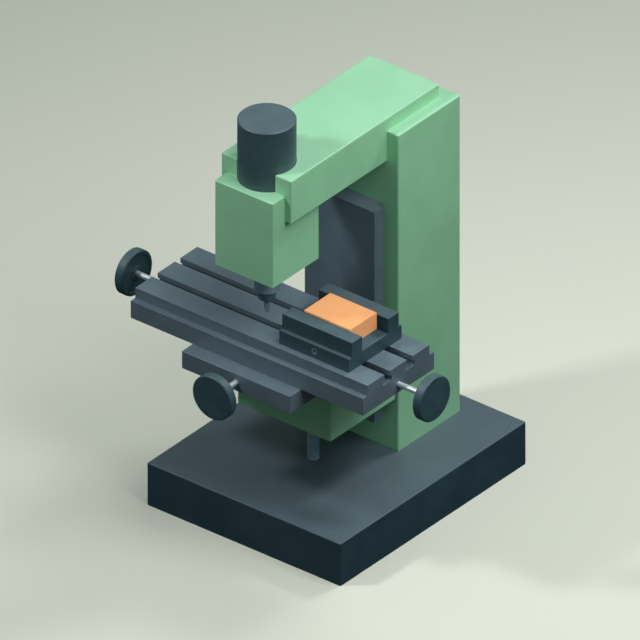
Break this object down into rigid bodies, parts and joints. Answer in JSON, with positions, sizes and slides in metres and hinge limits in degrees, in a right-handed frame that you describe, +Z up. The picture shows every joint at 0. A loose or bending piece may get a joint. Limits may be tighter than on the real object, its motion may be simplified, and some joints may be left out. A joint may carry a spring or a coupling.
{
  "type": "knee mill",
  "caption": "Vertical knee mill: ribbed base, hollow column, sliding ram and head with upright motor, and a knee carrying saddle, tee-slotted table and vise.",
  "frame": {"origin": "centre of the base's underside, on the floor", "axes": "+X along the table to the right, +Y to the column's back, +Z up"},
  "size_m": [1.58, 1.408, 1.96],
  "materials": {
    "green_paint": "satin enamel",
    "base_paint": "satin enamel",
    "slate_iron": "ground and oiled",
    "motor_paint": "satin enamel",
    "vise_iron": "blackened",
    "dark_steel": "black oxide",
    "bright_steel": "turned",
    "coated_steel": "coated cutting tool",
    "chrome_shaft": "polished",
    "bronze": "machined",
    "copper_winding": "varnished laminations and windings",
    "phenolic": "moulded",
    "orange_board": "machinable board",
    "button_green": "moulded",
    "button_red": "moulded"
  },
  "bodies": {
    "frame": {"base_casting": "base_paint", "column_casting": "green_paint", "frame_bolts": "dark_steel", "rear_cover": "green_paint", "rear_cover_screws": "dark_steel", "way_plate": "slate_iron", "elevating_screw": "dark_steel", "ram_keepers": "slate_iron", "ram_lock_screws": "dark_steel", "control_box": "motor_paint"},
    "start_button": {"start_button": "button_green"},
    "stop_button": {"stop_button": "button_red"},
    "ram": {"ram_casting": "green_paint", "ram_end_cap": "green_paint", "ram_screws": "dark_steel", "head_housing": "green_paint", "motor_plate": "green_paint", "motor_housing": "motor_paint", "motor_end_shields": "motor_paint", "motor_stator": "copper_winding", "fan_cowl": "motor_paint", "terminal_box": "motor_paint", "drive_bearings": "bright_steel"},
    "rotor": {"motor_shaft": "bright_steel", "motor_rotor": "dark_steel", "cooling_fan": "phenolic"},
    "quill": {"quill": "dark_steel", "spindle_bearings": "bright_steel"},
    "spindle": {"spindle": "bright_steel", "collet_chuck": "dark_steel", "end_mill": "coated_steel"},
    "quill_drive": {"quill_pinion": "bright_steel", "quill_handwheel": "phenolic"},
    "knee": {"knee_casting": "green_paint", "knee_keepers": "slate_iron", "keeper_screws": "dark_steel", "knee_gib": "bronze", "thrust_bearing": "bright_steel", "crank_bushing": "bronze", "cross_feed_nut": "bronze"},
    "lift_nut": {"elevating_nut": "bronze"},
    "lift_crank": {"crank_shaft": "bright_steel", "knee_handwheel": "phenolic"},
    "saddle": {"saddle_casting": "slate_iron", "saddle_gib": "bronze", "cross_bracket": "slate_iron", "table_feed_nut": "bronze", "table_gib": "bronze"},
    "cross_screw": {"cross_feed_screw": "chrome_shaft", "cross_handwheel": "phenolic"},
    "table": {"table_casting": "slate_iron", "table_brackets": "slate_iron", "vise_body": "vise_iron", "vise_tee_bolts": "dark_steel", "workpiece": "orange_board"},
    "table_screw": {"table_feed_screw": "chrome_shaft", "table_handwheels": "phenolic"},
    "vise_jaw": {"vise_moving_jaw": "vise_iron"},
    "vise_screw": {"vise_screw": "dark_steel"}
  },
  "joints": [
    {"name": "ram_slide", "type": "slide", "parent": "frame", "child": "ram", "axis": [0, 1, 0], "range_m": [-0.1, 0.15]},
    {"name": "quill_feed", "type": "slide", "parent": "ram", "child": "quill", "axis": [0, 0, 1], "range_m": [0, 0.12]},
    {"name": "quill_pinion_turn", "type": "hinge", "parent": "ram", "child": "quill_drive", "pos_m": [0, -0.383, 1.4], "axis": [1, 0, 0], "range_deg": [-344, 0]},
    {"name": "spindle_spin", "type": "hinge", "parent": "quill", "child": "spindle", "pos_m": [0, -0.45, 1.2], "axis": [0, 0, 1], "continuous": true},
    {"name": "motor_spin", "type": "hinge", "parent": "ram", "child": "rotor", "pos_m": [0, -0.45, 1.8], "axis": [0, 0, 1], "continuous": true},
    {"name": "knee_lift", "type": "slide", "parent": "frame", "child": "knee", "axis": [0, 0, 1], "range_m": [-0.15, 0.06]},
    {"name": "lift_nut_turn", "type": "hinge", "parent": "knee", "child": "lift_nut", "pos_m": [0, -0.15, 0.5], "axis": [0, 0, 1], "range_deg": [-5401, 2161]},
    {"name": "lift_crank_turn", "type": "hinge", "parent": "knee", "child": "lift_crank", "pos_m": [-0.3, -0.15, 0.59], "axis": [1, 0, 0], "range_deg": [-2161, 5401]},
    {"name": "saddle_cross", "type": "slide", "parent": "knee", "child": "saddle", "axis": [0, 1, 0], "range_m": [-0.1, 0.06]},
    {"name": "cross_screw_turn", "type": "hinge", "parent": "saddle", "child": "cross_screw", "pos_m": [0, -0.7, 0.8], "axis": [0, 1, 0], "range_deg": [-3601, 2161]},
    {"name": "table_travel", "type": "slide", "parent": "saddle", "child": "table", "axis": [1, 0, 0], "range_m": [-0.1, 0.24]},
    {"name": "table_screw_turn", "type": "hinge", "parent": "table", "child": "table_screw", "pos_m": [0, -0.35, 0.88], "axis": [1, 0, 0], "range_deg": [-3601, 8641]},
    {"name": "vise_jaw_slide", "type": "slide", "parent": "table", "child": "vise_jaw", "axis": [0, 1, 0], "range_m": [-0.02, 0]},
    {"name": "vise_screw_turn", "type": "hinge", "parent": "table", "child": "vise_screw", "pos_m": [0.3, -0.4, 1], "axis": [0, 1, 0], "range_deg": [0, 1441]},
    {"name": "start_press", "type": "slide", "parent": "frame", "child": "start_button", "axis": [1, 0, 0], "range_m": [0, 0.004], "stiffness_N_per_m": 400},
    {"name": "stop_press", "type": "slide", "parent": "frame", "child": "stop_button", "axis": [1, 0, 0], "range_m": [0, 0.004], "stiffness_N_per_m": 400}
  ],
  "couplings": [
    {"joint": "quill_pinion_turn", "follows": "quill_feed", "rad_per_m": -50},
    {"joint": "motor_spin", "follows": "spindle_spin", "ratio": 1},
    {"joint": "lift_nut_turn", "follows": "knee_lift", "rad_per_m": 628.32},
    {"joint": "lift_crank_turn", "follows": "knee_lift", "rad_per_m": -628.32},
    {"joint": "cross_screw_turn", "follows": "saddle_cross", "rad_per_m": 628.32},
    {"joint": "table_screw_turn", "follows": "table_travel", "rad_per_m": 628.32},
    {"joint": "vise_screw_turn", "follows": "vise_jaw_slide", "rad_per_m": -1256.6}
  ]
}
